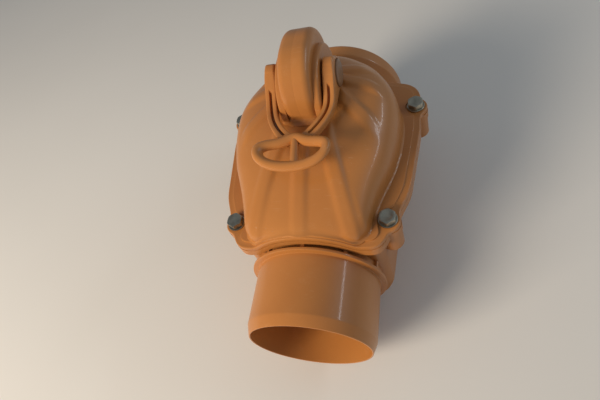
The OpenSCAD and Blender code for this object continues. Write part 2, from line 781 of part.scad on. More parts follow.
// retaining clips on the hinge pin
module hinge_clips() {
    color(zinc) for (s = [-1, 1]) translate(hinge + [s * (lug_out + clip_w / 2 + weld), 0, 0]) difference() {
        rotate([0, 90, 0]) cylinder(r = pin_r + clip_out, h = clip_w, center = true);
        rotate([0, 90, 0]) cylinder(r = pin_r - clip_d, h = far, center = true);
        translate([0, 0, -pin_r]) cube([far, clip_mouth, 2 * pin_r], center = true);
    }
}

// gasket in the groove of the body's flange
module cover_gasket() {
    color(rubber) intersection() {
        linear_extrude(far) difference() {
            dome_plan(gasket_out);
            dome_plan(-dome_wall);
        }
        layer(-gasket_t, 0, flange_y, flange_tail + lap);
    }
}

// height of a saddle surface at x, and the dome as rings of points round its centre
function saddle_z(x, o) = max(seam_z + o, abs(x) < arch_r + o ? sqrt(pow(arch_r + o, 2) - x * x) : 0);
corner_far = norm([corner_x, corner_y - dome_y]);
side_turn = 90 + dome_taper;
angle_side = let (p = [corner_x, corner_y - dome_y] + side_dir * dome_corner) atan2(p[0], p[1]);
angle_edge = atan2(corner_x, dome_front - dome_y);
function foot(a) = a < side_turn ? dome_r
    : a < angle_side ? dome_r / cos(a - side_turn)
    : a < angle_edge ? let (b = sin(a) * corner_x + cos(a) * (corner_y - dome_y))
        b + sqrt(b * b - corner_far * corner_far + dome_corner * dome_corner)
    : (dome_y - dome_front) / cos(180 - a);
function smooth(e0, e1, v) = let (t = max(0, min(1, (v - e0) / (e1 - e0)))) t * t * (3 - 2 * t);
function rib(x, y, c) = smooth(rib_start, rib_full, c) * max([for (k = rib_angles)
    let (e = [sin(k), -cos(k)], u = [x, y + rib_in], d = u * e > 0 ? abs(u[0] * e[1] - u[1] * e[0]) : far)
    exp(-pow(2 * d / rib_w, 4))]);
function crown(y) = crown_z - crown_fall * pow(y - dome_y, 2);

// one point of the dome: a from the rear, lift from the foot (0) to the crown (90), w the wall left off
function dome_point(a, lift, w) = let (
    b = abs(a),
    r = foot(b) - w,
    size = pow(pow(cos(lift), dome_power) + pow(sin(lift), dome_power), 1 / dome_power),
    c = cos(lift) / size,
    up = sin(lift) / size,
    bump = w > 0 ? 0 : rib_h * rib(c * r * sin(b), c * r * cos(b) + dome_y, c),
    steep = pow(c, dome_power - 1) / (pow(c, dome_power - 1) + pow(up, dome_power - 1)),
    q = c * r + bump * steep * smooth(0, rib_grow, up),
    x = q * sin(a),
    y = q * cos(a) + dome_y,
    base = saddle_z(foot(b) * sin(a), cover_flange_t / 2))
    [x, y, base + up * (crown(y) - w - base) + bump * (1 - steep)];

fine_step = 2.5;
plain_step = 10;
ribbed_turn = 130;
outer_rows = 13;
inner_rows = 7;
dome_angles = concat([for (a = [-180 : fine_step : -180 + ribbed_turn - weld]) a],
    [for (a = [-180 + ribbed_turn : plain_step : 180 - ribbed_turn - weld]) a],
    [for (a = [180 - ribbed_turn : fine_step : 180 - weld]) a]);

// dome: one closed skin from the outer foot over the crown and back down the inside
module dome() {
    n = len(dome_angles);
    rows = concat([for (i = [0 : outer_rows - 1]) [90 * i / outer_rows, 0]],
        [for (i = [inner_rows - 1 : -1 : 0]) [90 * i / inner_rows, dome_wall]]);
    m = outer_rows;
    k = len(rows);
    ring_pts = [for (row = rows) each [for (a = dome_angles) dome_point(a, row[0], row[1])]];
    tops = [[0, dome_y, crown_z], [0, dome_y, crown_z - dome_wall]];
    quads = [for (j = [0 : k - 1]) each (j == m - 1 ? [] : [for (i = [0 : n - 1])
        let (i2 = (i + 1) % n, j2 = (j + 1) % k) each [
            [j * n + i, j2 * n + i2, j2 * n + i], [j * n + i, j * n + i2, j2 * n + i2]]])];
    caps = [for (i = [0 : n - 1]) let (i2 = (i + 1) % n) each [
        [(m - 1) * n + i, (m - 1) * n + i2, n * k], [m * n + i2, m * n + i, n * k + 1]]];
    polyhedron(points = concat(ring_pts, tops), faces = concat(quads, caps));
}

// rounded disc about the cross axis
module wheel(r, t, round) {
    about_x() polygon(concat([[0, -t / 2]], arc([r - round, -t / 2 + round], round, -90, 0),
        arc([r - round, t / 2 - round], round, 0, 90), [[0, t / 2]]));
}

// cover: stepped flange, ribbed dome, fin with the slot and bearings of the lock
module cover() {
    color(orange) difference() {
        union() {
            difference() {
                union() {
                    intersection() {
                        linear_extrude(far) flange_plan(0, true);
                        layer(0, cover_flange_t, flange_y - lap, flange_tail + lap);
                    }
                    intersection() {
                        linear_extrude(far) flange_plan(step_in, false);
                        layer(cover_flange_t / 2, cover_flange_t + step_t, flange_y, flange_tail);
                    }
                }
                linear_extrude(far) dome_plan(-dome_wall);
            }
            dome();
            intersection() {
                union() {
                    translate(fin_mid) wheel(fin_r, fin_t, fin_round);
                    translate(pivot - [0, 0, shoulder_drop]) wheel(shoulder_r, shoulder_t, shoulder_round);
                }
                translate([-far / 2, -far, pivot_z - fin_depth]) cube([far, 2 * far, far]);
            }
        }
        translate(fin_mid) rotate([0, 90, 0]) cylinder(r = slot_r, h = slot_w, center = true);
        translate(pivot) rotate([0, 90, 0]) cylinder(r = shaft_r + shaft_clear, h = far, center = true);
        for (s = [-1, 1]) translate(pivot + [s * groove_x, 0, 0]) rotate([0, 90, 0])
            cylinder(r = shaft_r + oring_d + 2 * weld, h = oring_d + 2 * oring_play, center = true);
        for (b = bolts) translate(b) {
            cylinder(r = hole_r, h = far);
            translate([0, 0, seat_z]) cylinder(r = washer_r + spot_gap, h = far / 8);
        }
    }
}

// cover bolts with chamfered hexagon heads
module cover_bolts() {
    shank = seat_z + washer_t - bolt_end;
    color(zinc) for (b = bolts) translate([b[0], b[1], seat_z + washer_t]) {
        translate([0, 0, -shank]) cylinder(r = bolt_r, h = shank);
        intersection() {
            linear_extrude(head_h) hexagon(nut_af);
            cylinder(r1 = nut_af / 2 + head_h, r2 = nut_af / 2 - 2 * weld, h = head_h);
        }
    }
}

// washers under the bolt heads
module cover_washers() {
    color(zinc) for (b = bolts) translate([b[0], b[1], seat_z]) linear_extrude(washer_t)
        ring2(washer_r, hole_r - bolt_clear / 2);
}

// nuts held in the pockets of the bosses
module cover_nuts() {
    color(zinc) for (b = bolts) translate([b[0], b[1], boss_z]) linear_extrude(nut_h) difference() {
        hexagon(nut_af);
        circle(bolt_r + weld);
    }
}

// lever arm in plan, of the given width and turn: straight from the hub, then bent inwards
module arm_plan(w, start, turn) {
    x = (hub_in + hub_out) / 2;
    bend = [x - arm_bend, -pivot_in - arm_straight];
    polygon(concat([[x - w / 2, -pivot_in - start], [x + w / 2, -pivot_in - start]],
        arc(bend, arm_bend + w / 2, 0, -turn), arc(bend, arm_bend - w / 2, -turn, 0)));
}

// side profile of an arm, shifted up by d
module arm_profile(d) {
    polygon([for (p = arm_side) [-pivot_in - p[0], pivot_z + p[1] + d]]);
}

// closed centre line of the finger ring: x across, y outwards from the ring's middle
function ring_at(a) = let (c = cos(a), s = sin(a),
    x = ring_w * sign(c) * pow(abs(c), ring_shape[0]))
    [x, s > 0 ? ring_front * pow(s, ring_shape[1])
        : -ring_back * pow(abs(s), ring_shape[2]) - ring_peak * exp(-pow(x / peak_w, 2))];
ring_steps = 48;
bar_steps = 12;

module finger_ring() {
    pts = [for (i = [0 : ring_steps - 1])
        let (a = (i + 0.5) * 360 / ring_steps, p = ring_at(a), q = unit(ring_at(a + 1) - ring_at(a - 1)))
        each [for (j = [0 : bar_steps - 1]) let (b = j * 360 / bar_steps)
            [p[0] + bar_r * cos(b) * q[1], p[1] - bar_r * cos(b) * q[0], bar_r * sin(b)]]];
    faces = [for (i = [0 : ring_steps - 1]) each [for (j = [0 : bar_steps - 1])
        let (i2 = (i + 1) % ring_steps, j2 = (j + 1) % bar_steps) each [
            [i * bar_steps + j, i * bar_steps + j2, i2 * bar_steps + j2],
            [i * bar_steps + j, i2 * bar_steps + j2, i2 * bar_steps + j]]]];
    polyhedron(points = pts, faces = faces);
}

// lever: two hubs, slit arms that bend together, stirrup-shaped finger ring with a stem
module lever() {
    square_hole = square_w + 2 * square_play;
    color(orange) union() {
        mirrored() difference() {
            union() {
                intersection() {
                    linear_extrude(far) arm_plan(arm_w, 0, arm_turn);
                    along_x(-far / 4, far / 4) arm_profile(0);
                }
                translate(pivot + [hub_in, 0, 0]) rotate([0, 90, 0]) cylinder(r = hub_r, h = hub_w);
            }
            intersection() {
                linear_extrude(far) arm_plan(slit_w, hub_r / 3, slit_turn);
                along_x(-far / 4, far / 4) difference() {
                    translate([-far, 0]) square([far, far]);
                    arm_profile(-slit_depth);
                    translate([-far, 0]) square([far, pivot_z - hub_r]);
                    translate([-pivot_in - arm_straight - arm_bend, 0]) square([far, pivot_z - hub_r / 2]);
                }
            }
            translate(pivot) cube([far, square_hole, square_hole], center = true);
        }
        translate(pivot - [0, ring_out, ring_drop]) rotate([ring_tilt + 180, 0, 0]) {
            finger_ring();
            translate([0, -ring_back - ring_peak, 0]) rotate([-90, 0, 0])
                cylinder(r = stem_r, h = ring_back + ring_peak + ring_front);
        }
    }
}

// shaft: round in the cover's bearings, square in the lever's hubs
module lever_shaft() {
    color(zinc) translate(pivot) difference() {
        union() {
            rotate([0, 90, 0]) cylinder(r = shaft_r, h = 2 * shaft_half, center = true);
            cube([2 * hub_out, square_w, square_w], center = true);
        }
        rotate([finger_rest, 0, 0]) cylinder(r = key_d / 2, h = far, center = true);
        for (s = [-1, 1]) translate([s * hub_out, 0, 0]) rotate([0, 90, 0])
            cylinder(r = plug_r, h = hub_w, center = true);
    }
}

// finger on the shaft, stowed in the fin while the flap is free
module lock_finger() {
    reach = finger_len - finger_tip;
    color(deep_orange) translate(pivot) rotate([finger_rest, 0, 0]) difference() {
        along_x(-finger_w / 2, finger_w / 2) polygon(link(shaft_r + finger_wall, finger_tip, reach));
        rotate([0, 90, 0]) cylinder(r = shaft_r + weld, h = far, center = true);
        cylinder(r = key_d / 2, h = far, center = true);
    }
}

// pin that keys the finger to the shaft
module finger_pin() {
    color(zinc) translate(pivot) rotate([finger_rest, 0, 0])
        cylinder(r = key_d / 2 - weld, h = 2 * (shaft_r + finger_wall - lap), center = true);
}

// rings that seal the shaft in the cover
module shaft_seals() {
    color(rubber) for (s = [-1, 1]) translate(pivot + [s * groove_x, 0, 0]) about_x()
        translate([shaft_r + oring_d / 2 + weld, 0]) circle(oring_d / 2);
}

// cap with a plug in the shaft's end
module cap() {
    rotate([0, 90, 0]) {
        cylinder(r1 = cap_r, r2 = cap_r - cap_t / 2, h = cap_t);
        translate([0, 0, lap - hub_w / 2]) cylinder(r = plug_r - weld, h = hub_w / 2);
    }
}

module cap_right() {
    color(deep_orange) translate(pivot + [hub_out, 0, 0]) cap();
}

module cap_left() {
    color(deep_orange) translate(pivot - [hub_out, 0, 0]) mirror([1, 0, 0]) cap();
}

valve_body();
outlet_spigot();
inlet_socket();
socket_seal();
seat_insert();
seat_gasket();
seat_screws();
flap();
flap_seal();
seal_clamp();
clamp_screws();
hinge_pin();
hinge_clips();
cover_gasket();
cover();
cover_bolts();
cover_washers();
cover_nuts();
lever();
lever_shaft();
lock_finger();
finger_pin();
shaft_seals();
cap_right();
cap_left();
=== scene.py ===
import bpy
import numpy as np
from mathutils import Euler, Matrix, Vector


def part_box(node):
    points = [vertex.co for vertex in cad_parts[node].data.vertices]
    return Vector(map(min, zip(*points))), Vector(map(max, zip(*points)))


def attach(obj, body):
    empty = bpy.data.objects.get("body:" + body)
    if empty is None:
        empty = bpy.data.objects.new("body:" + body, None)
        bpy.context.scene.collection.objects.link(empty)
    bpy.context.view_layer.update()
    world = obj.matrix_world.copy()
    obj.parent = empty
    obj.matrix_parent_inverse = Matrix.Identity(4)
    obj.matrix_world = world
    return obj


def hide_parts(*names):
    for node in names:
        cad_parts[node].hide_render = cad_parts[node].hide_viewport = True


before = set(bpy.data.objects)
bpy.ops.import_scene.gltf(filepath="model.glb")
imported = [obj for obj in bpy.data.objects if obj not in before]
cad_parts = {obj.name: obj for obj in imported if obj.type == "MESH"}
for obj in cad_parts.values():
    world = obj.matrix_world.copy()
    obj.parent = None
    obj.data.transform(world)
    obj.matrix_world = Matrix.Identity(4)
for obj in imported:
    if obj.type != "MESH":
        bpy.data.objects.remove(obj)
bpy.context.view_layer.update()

scene = bpy.context.scene
scene.view_settings.view_transform = "Standard"

# Standpoint: the valve lies on its feet on a pale table and is seen from its outlet end, from above and a
# little to the right, with a short lens held close over it.
eye = Vector((0.11726, -0.33723, 0.36770))
eye_turn = Euler(np.radians((34.793, 16.649, 8.735)))
focal_px, image_px = 454.59, 600.0
camera = bpy.data.objects.new("camera", bpy.data.cameras.new("camera"))
camera.data.sensor_width = 36.0
camera.data.lens = camera.data.sensor_width * focal_px / image_px
camera.data.clip_start = 0.01
camera.matrix_world = Matrix.LocRotScale(eye, eye_turn, None)
scene.collection.objects.link(camera)
scene.camera = camera

# Table: a wide sheet of pale lacquered board under the feet, warm grey, with a faint cloudy sheen. It only
# carries the shadow and isn't part of the valve.
floor_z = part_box("valve_body")[0].z
table_half = 3.0
floor_mesh = bpy.data.meshes.new("table")
floor_mesh.from_pydata([(-table_half, -table_half, floor_z), (table_half, -table_half, floor_z),
                        (table_half, table_half, floor_z), (-table_half, table_half, floor_z)],
                       [], [(0, 1, 2, 3)])
table = bpy.data.objects.new("table", floor_mesh)
scene.collection.objects.link(table)


def new_material(name):
    """Empty node material with its shader; returns the material, its nodes, its links and the shader."""
    m = bpy.data.materials.new(name)
    m.use_nodes = True
    tree = m.node_tree
    return m, tree.nodes, tree.links, tree.nodes["Principled BSDF"]


lacquer, nodes, links, bsdf = new_material("table_lacquer")
where = nodes.new("ShaderNodeTexCoord")
cloud = nodes.new("ShaderNodeTexNoise")
cloud.inputs["Scale"].default_value = 3.0
tint = nodes.new("ShaderNodeMix")
tint.data_type = "RGBA"
tint.inputs[6].default_value = (0.74, 0.71, 0.665, 1)
tint.inputs[7].default_value = (0.80, 0.77, 0.725, 1)
links.new(where.outputs["Object"], cloud.inputs["Vector"])
links.new(cloud.outputs["Fac"], tint.inputs[0])
links.new(tint.outputs[2], bsdf.inputs["Base Color"])
bsdf.inputs["Roughness"].default_value = 0.42
table.data.materials.append(lacquer)

# Light: a broad warm lamp before the valve's left, whose own reflection is left out, a long narrow cool
# window on the right that draws the streaks down the dome and the spigot, and a dim even room.
world = bpy.data.worlds.new("room")
scene.world = world
world.use_nodes = True
world.node_tree.nodes["Background"].inputs["Color"].default_value = (0.86, 0.93, 1.0, 1)
world.node_tree.nodes["Background"].inputs["Strength"].default_value = 0.24


def soft_lamp(name, at, aim, size, power, colour):
    """Rectangular lamp at one point, facing another; the turn is the look-at matrix of the two points."""
    data = bpy.data.lights.new(name, "AREA")
    data.shape = "RECTANGLE"
    data.size, data.size_y = size
    data.energy = power
    data.color = colour
    lamp = bpy.data.objects.new(name, data)
    back = np.array(at, float) - np.array(aim, float)
    back /= np.linalg.norm(back)
    side = np.cross([0, 0, 1], back)
    side /= np.linalg.norm(side)
    turn = np.eye(4)
    turn[:3, 0], turn[:3, 1], turn[:3, 2], turn[:3, 3] = side, np.cross(back, side), back, at
    lamp.matrix_world = Matrix(turn.tolist())
    scene.collection.objects.link(lamp)
    return lamp


lamp_front = soft_lamp("lamp_front", (-0.95, -1.20, 0.78), (0.0, -0.1, 0.03), (0.7, 0.6), 28.0,
                       (1.0, 0.88, 0.73))
lamp_front.visible_glossy = False
soft_lamp("window_right", (1.25, 0.40, 0.78), (0.0, -0.08, 0.03), (1.1, 0.08), 3.6, (0.84, 0.92, 1.0))

# Moulded plastic: polypropylene shot into polished and lightly etched steel moulds, orange brown right
# through. It shows slow colour clouds from the flow, fine pitting, rubbed pale spots and hair scratches.
moulded = bpy.data.node_groups.new("moulded_plastic", "ShaderNodeTree")
face = moulded.interface
for label, kind in (("Colour", "NodeSocketColor"), ("Deep", "NodeSocketColor"), ("Gloss", "NodeSocketFloat"),
                    ("Wear", "NodeSocketFloat")):
    face.new_socket(name=label, in_out="INPUT", socket_type=kind)
for label, kind in (("Colour", "NodeSocketColor"), ("Roughness", "NodeSocketFloat"),
                    ("Height", "NodeSocketFloat")):
    face.new_socket(name=label, in_out="OUTPUT", socket_type=kind)
gn, gl = moulded.nodes, moulded.links
g_in, g_out = gn.new("NodeGroupInput"), gn.new("NodeGroupOutput")


def noise(tree_nodes, tree_links, vector, scale, detail):
    """Noise texture read at the given coordinates; scale is in waves per metre."""
    n = tree_nodes.new("ShaderNodeTexNoise")
    n.inputs["Scale"].default_value = scale
    n.inputs["Detail"].default_value = detail
    tree_links.new(vector, n.inputs["Vector"])
    return n.outputs["Fac"]


def ramp(tree_nodes, tree_links, value, low, high, out_low=0.0, out_high=1.0):
    """Value carried from the range low..high to out_low..out_high, held at the ends."""
    r = tree_nodes.new("ShaderNodeMapRange")
    r.inputs["From Min"].default_value, r.inputs["From Max"].default_value = low, high
    r.inputs["To Min"].default_value, r.inputs["To Max"].default_value = out_low, out_high
    tree_links.new(value, r.inputs["Value"])
    return r.outputs["Result"]


def maths(tree_nodes, tree_links, kind, a, b):
    """One sum of two values; b may be a number."""
    m = tree_nodes.new("ShaderNodeMath")
    m.operation = kind
    tree_links.new(a, m.inputs[0])
    if isinstance(b, (int, float)):
        m.inputs[1].default_value = b
    else:
        tree_links.new(b, m.inputs[1])
    return m.outputs[0]


def mixed(tree_nodes, tree_links, share, a, b):
    """Colour between a and b by share; a and b are sockets or fixed colours."""
    m = tree_nodes.new("ShaderNodeMix")
    m.data_type = "RGBA"
    tree_links.new(share, m.inputs[0])
    for k, c in ((6, a), (7, b)):
        if isinstance(c, tuple):
            m.inputs[k].default_value = c
        else:
            tree_links.new(c, m.inputs[k])
    return m.outputs[2]


g_at = gn.new("ShaderNodeTexCoord").outputs["Object"]
flow = ramp(gn, gl, noise(gn, gl, g_at, 16.0, 3.0), 0.3, 0.7)
base = mixed(gn, gl, flow, g_in.outputs["Colour"], g_in.outputs["Deep"])
rub = maths(gn, gl, "MULTIPLY", ramp(gn, gl, noise(gn, gl, g_at, 60.0, 6.0), 0.58, 0.8),
            ramp(gn, gl, noise(gn, gl, g_at, 700.0, 2.0), 0.4, 0.7))
rub = maths(gn, gl, "MULTIPLY", rub, g_in.outputs["Wear"])
hair_map = gn.new("ShaderNodeMapping")
hair_map.inputs["Rotation"].default_value = (0.5, 0.3, 0.7)
hair_map.inputs["Scale"].default_value = (30.0, 900.0, 900.0)
gl.new(g_at, hair_map.inputs["Vector"])
hair = ramp(gn, gl, noise(gn, gl, hair_map.outputs["Vector"], 1.0, 1.0), 0.68, 0.74)
hair = maths(gn, gl, "MULTIPLY", hair, ramp(gn, gl, noise(gn, gl, g_at, 22.0, 1.0), 0.5, 0.65))
hair = maths(gn, gl, "MULTIPLY", hair, g_in.outputs["Wear"])
pale = maths(gn, gl, "MULTIPLY", maths(gn, gl, "MAXIMUM", rub, hair), 0.16)
gl.new(mixed(gn, gl, pale, base, (0.72, 0.47, 0.27, 1)), g_out.inputs["Colour"])
pit = noise(gn, gl, g_at, 900.0, 3.0)
peel = noise(gn, gl, g_at, 150.0, 2.0)
rough = maths(gn, gl, "ADD", g_in.outputs["Gloss"], ramp(gn, gl, pit, 0.3, 0.7, -0.04, 0.06))
rough = maths(gn, gl, "ADD", rough, ramp(gn, gl, flow, 0.0, 1.0, -0.03, 0.03))
gl.new(maths(gn, gl, "ADD", rough, maths(gn, gl, "MULTIPLY", pale, 0.6)), g_out.inputs["Roughness"])
height = maths(gn, gl, "ADD", maths(gn, gl, "MULTIPLY", pit, 0.25), peel)
gl.new(maths(gn, gl, "SUBTRACT", height, maths(gn, gl, "MULTIPLY", hair, 0.2)), g_out.inputs["Height"])


def plastic(name, colour, deep, gloss, wear):
    """Moulded plastic in one colour; gloss is its middle roughness and wear how rubbed it is."""
    m, n, l, shader = new_material(name)
    g = n.new("ShaderNodeGroup")
    g.node_tree = moulded
    g.inputs["Colour"].default_value = colour
    g.inputs["Deep"].default_value = deep
    g.inputs["Gloss"].default_value = gloss
    g.inputs["Wear"].default_value = wear
    bump = n.new("ShaderNodeBump")
    bump.inputs["Strength"].default_value = 0.10
    bump.inputs["Distance"].default_value = 0.0004
    l.new(g.outputs["Colour"], shader.inputs["Base Color"])
    l.new(g.outputs["Roughness"], shader.inputs["Roughness"])
    l.new(g.outputs["Height"], bump.inputs["Height"])
    l.new(bump.outputs["Normal"], shader.inputs["Normal"])
    shader.inputs["Specular IOR Level"].default_value = 0.5
    shader.inputs["Coat Weight"].default_value = 0.25
    shader.inputs["Coat Roughness"].default_value = 0.1
    return m


body_plastic = plastic("body_plastic", (0.50, 0.200, 0.050, 1), (0.45, 0.170, 0.040, 1), 0.42, 1.0)

# Body: the chamber with its round belly, arched flange, bolt bosses and two feet, one moulding that carries
# everything else. Its flat and round walls come straight from the construction.
def dress(node, material):
    """Gives a construction piece its finish."""
    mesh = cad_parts[node].data
    mesh.materials.clear()
    mesh.materials.append(material)


dress("valve_body", body_plastic)

# Outlet spigot: plain pipe end with a long lead-in chamfer, a thin collar and short webs behind it, turned
# about the pipe axis and welded into the chamber's front.
pipe_r, bore_r, mouth_y, chamfer_in, chamfer_len = 55.0, 51.0, -238.0, 2.7, 9.0
collar_r, collar_face, collar_back, neck_end = 60.3, -178.5, -175.7, -164.0
web_r, web_half, web_count, web_end, web_sunk = 57.65, 1.5, 10, -168.0, 1.0


def surface(points, loop=False, tips=(False, False), flip=False):
    """Vertices and faces of a grid of points, rows by columns: quads between neighbours, with the last column
    joined to the first. loop joins the last row to the first, and tips close the end rows on their middles."""
    p = np.asarray(points, float)
    n, m = p.shape[:2]
    ids = np.arange(n * m).reshape(n, m)
    quads = np.hstack([ids, ids[:, :1]])
    quads = np.vstack([quads, quads[:1]]) if loop else quads
    faces = np.stack([quads[:-1, :-1], quads[:-1, 1:], quads[1:, 1:], quads[1:, :-1]], -1).reshape(-1, 4)
    faces = [faces[:, ::-1] if flip else faces]
    verts = [p.reshape(-1, 3)]
    top = n * m
    for row, end, turn in ((0, tips[0], False), (n - 1, tips[1], True)):
        if end:
            edge = np.append(ids[row], ids[row][:1])
            verts.append(p[row].mean(0)[None])
            fan = np.stack([np.full(len(edge) - 1, top), edge[1:], edge[:-1]], -1)
            faces.append(fan[:, ::-1] if turn != flip else fan)
            top += 1
    return np.vstack(verts), faces


def piece(name, surfaces, material, body_name, nodes_replaced=(), sharp=35.0):
    """One object from several surfaces in millimetres, smooth up to the given angle, riding on its body."""
    verts, faces, base_id = [], [], 0
    for v, fs in surfaces:
        verts.append(v)
        faces += [(f + base_id).tolist() for f in fs]
        base_id += len(v)
    mesh = bpy.data.meshes.new(name)
    mesh.from_pydata((np.vstack(verts) * 0.001).tolist(), [], sum(faces, []))
    mesh.polygons.foreach_set("use_smooth", np.ones(len(mesh.polygons), bool))
    mesh.set_sharp_from_angle(angle=np.radians(sharp))
    mesh.materials.append(material)
    mesh.update()
    o = bpy.data.objects.new(name, mesh)
    scene.collection.objects.link(o)
    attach(o, body_name)
    if nodes_replaced:
        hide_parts(*nodes_replaced)


def softened(corners, radii, steps=6):
    """Open profile whose inner corners are rounded: each becomes an arc that touches both its edges."""
    p, r = np.array(corners, float), np.array(radii, float)
    a, b = p[:-2] - p[1:-1], p[2:] - p[1:-1]
    a /= np.linalg.norm(a, axis=1)[:, None]
    b /= np.linalg.norm(b, axis=1)[:, None]
    half_angle = np.arccos(np.clip((a * b).sum(1), -1, 1)) / 2
    middle = (a + b) / np.linalg.norm(a + b, axis=1)[:, None]
    centre = p[1:-1] + middle * (r / np.sin(half_angle))[:, None]
    first = p[1:-1] + a * (r / np.tan(half_angle))[:, None] - centre
    last = p[1:-1] + b * (r / np.tan(half_angle))[:, None] - centre
    t = np.linspace(0, 1, steps)[None, :, None]
    angle = np.pi - 2 * half_angle[:, None, None]
    arc = (np.sin((1 - t) * angle) * first[:, None] + np.sin(t * angle) * last[:, None]) / np.sin(angle)
    return np.vstack([p[:1], (centre[:, None] + arc).reshape(-1, 2), p[-1:]])


def turned(profile, count, axis="y", centre=(0.0, 0.0, 0.0)):
    """Profile (radius, distance along the axis) carried round the axis: a grid of profile by angle."""
    profile = np.asarray(profile, float)
    a = np.linspace(0, 2 * np.pi, count, endpoint=False)
    r, s = profile[:, :1], np.repeat(profile[:, 1:], count, 1)
    c, d = r * np.cos(a), r * np.sin(a)
    order = {"y": (c, s, d), "x": (s, d, c)}[axis]
    return np.stack(order, -1) + np.array(centre)


spigot_line = softened([[bore_r, neck_end], [bore_r, mouth_y], [pipe_r - chamfer_in, mouth_y],
                        [pipe_r, mouth_y + chamfer_len], [pipe_r, collar_face], [collar_r, collar_face],
                        [collar_r, collar_back], [pipe_r, collar_back], [pipe_r, neck_end]],
                       [0.5, 0.5, 4.0, 0.7, 0.7, 0.7, 0.5])
web_a = (np.arange(web_count) + 0.5) * 2 * np.pi / web_count


def block(low, high):
    """Closed box between two corners, as a grid of four columns and tips at its ends."""
    x, z = np.array([low[0], high[0], high[0], low[0]]), np.array([low[2], low[2], high[2], high[2]])
    rows = [np.stack([x, np.full(4, y), z], -1) for y in (low[1], high[1])]
    return surface(rows, tips=(True, True))


def spun(shape, angle):
    """A shape turned about the pipe axis."""
    v, f = shape
    c, s = np.cos(angle), np.sin(angle)
    return np.stack([v[:, 0] * c + v[:, 2] * s, v[:, 1], v[:, 2] * c - v[:, 0] * s], -1), f


web = block((pipe_r - web_sunk, collar_back - web_sunk, -web_half), (web_r, web_end, web_half))
piece("spigot", [surface(turned(spigot_line, 192), loop=True)] + [spun(web, a) for a in web_a], body_plastic,
      "valve", ["outlet_spigot"])

# Inlet socket: bell for the next pipe, with a bead that swells over the seal's groove, turned about the pipe
# axis and welded to the chamber's rear.
socket_r, bell_r, bead_r, socket_end, groove = 55.3, 59.1, 66.7, 62.0, (48.0, 57.0)
way_r, plug_r, plug_end, bell_start, groove_r = 49.5, 54.95, -9.0, -3.0, socket_r + 7.6
bead_from, bead_full, bead_to, bead_bevel, mouth_bevel = 38.2, 46.2, 58.8, 2.0, (1.6, 1.8)
bell_line = softened([[way_r, plug_end], [plug_r, plug_end], [plug_r, bell_start], [bell_r, bell_start],
                      [bell_r, bead_from], [bead_r, bead_full], [bead_r, bead_to],
                      [bead_r - bead_bevel, socket_end], [socket_r + mouth_bevel[0], socket_end],
                      [socket_r, socket_end - mouth_bevel[1]], [socket_r, groove[1]], [groove_r, groove[1]],
                      [groove_r, groove[0]], [socket_r, groove[0]], [socket_r, 0], [way_r, 0],
                      [way_r, plug_end + 1]],
                     [0.3, 0.3, 0.3, 6, 3, 2, 1, 0.6, 0.8, 0.5, 0.3, 0.3, 0.5, 0.8, 0.8])
piece("socket", [surface(turned(bell_line[::-1], 192), loop=True)], body_plastic, "valve",
      ["inlet_socket"])

# Cover flange: a flat stepped rim that lies on the body's flange, arches over the pipe and swells to a lobe
# at each bolt. It is one moulding with the dome and the fin.
seam_z, arch_r, arch_fillet, flange_y = 46.5, 63.0, 14.0, -172.5
flange_half = np.array([[62, flange_y], [84, flange_y + 54], [91.5, -54], [91.5, 3]], float)
flange_round = [14.0, 60.0, 90.0, 22.0]
tail, tail_round, lobe_r, seat_r, step_in, cover_t, step_t = 29.0, 120.0, 10.5, 9.6, 5.5, 5.0, 1.5
bolt_places = np.array([[67, -147.5], [87.5, -25], [-67, -147.5], [-87.5, -25]])
hub_point = np.array([0.0, -66.0])
ray_angle = np.linspace(0, 2 * np.pi, 900, endpoint=False)
ray = np.stack([np.cos(ray_angle), np.sin(ray_angle)], -1)
dome_y, dome_r, dome_taper, dome_corner, dome_front = -45.0, 71.0, np.radians(9.5), 14.0, -169.0
corner_y = dome_front + dome_corner
corner_x = (dome_r - dome_corner + (corner_y - dome_y) * np.sin(dome_taper)) / np.cos(dome_taper)


def saddle(x, o):
    """Height of the surface that lies o over the parting line: flat beside the neck, then a hollow fillet,
    then an arch about the pipe axis."""
    x = np.abs(x)
    mid_z = seam_z + arch_fillet
    mid_x = np.sqrt((arch_r + arch_fillet) ** 2 - mid_z ** 2)
    arch = np.sqrt(np.maximum((arch_r + o) ** 2 - x ** 2, 0))
    hollow = mid_z - np.sqrt(np.maximum((arch_fillet - o) ** 2 - (x - mid_x) ** 2, 0))
    meet = (arch_r + o) * mid_x / np.hypot(mid_x, mid_z)
    return np.where(x > mid_x, seam_z + o, np.where(x > meet, hollow, arch))


def rounded(corners, radii, steps=40):
    """Closed outline with rounded corners: the open rule for one more turn, cut back to one round."""
    p, r = np.array(corners, float), np.array(radii, float)
    return softened(np.vstack([p[-1:], p, p[:1]]), r, steps)[1:-1]


def inset(corners, d):
    """Closed outline drawn in by d: each corner moves along the sum of its two edge normals."""
    p = np.array(corners, float)
    e = np.roll(p, -1, 0) - p
    n = np.stack([e[:, 1], -e[:, 0]], -1) / np.linalg.norm(e, axis=1)[:, None]
    a = np.roll(n, 1, 0)
    return p - d * (a + n) / (1 + (a * n).sum(1))[:, None]


def reach(outline):
    """Distance from the hub point to a closed outline along each ray, read off its finely cut edges."""
    p = np.vstack([outline, outline[:1]]) - hub_point
    s = np.append(0, np.cumsum(np.linalg.norm(np.diff(p, axis=0), axis=1)))
    at = np.linspace(0, s[-1], 8000, endpoint=False)
    x, y = np.interp(at, s, p[:, 0]), np.interp(at, s, p[:, 1])
    a = np.arctan2(y, x) % (2 * np.pi)
    order = np.argsort(a)
    return np.interp(ray_angle, a[order], np.hypot(x, y)[order], period=2 * np.pi)


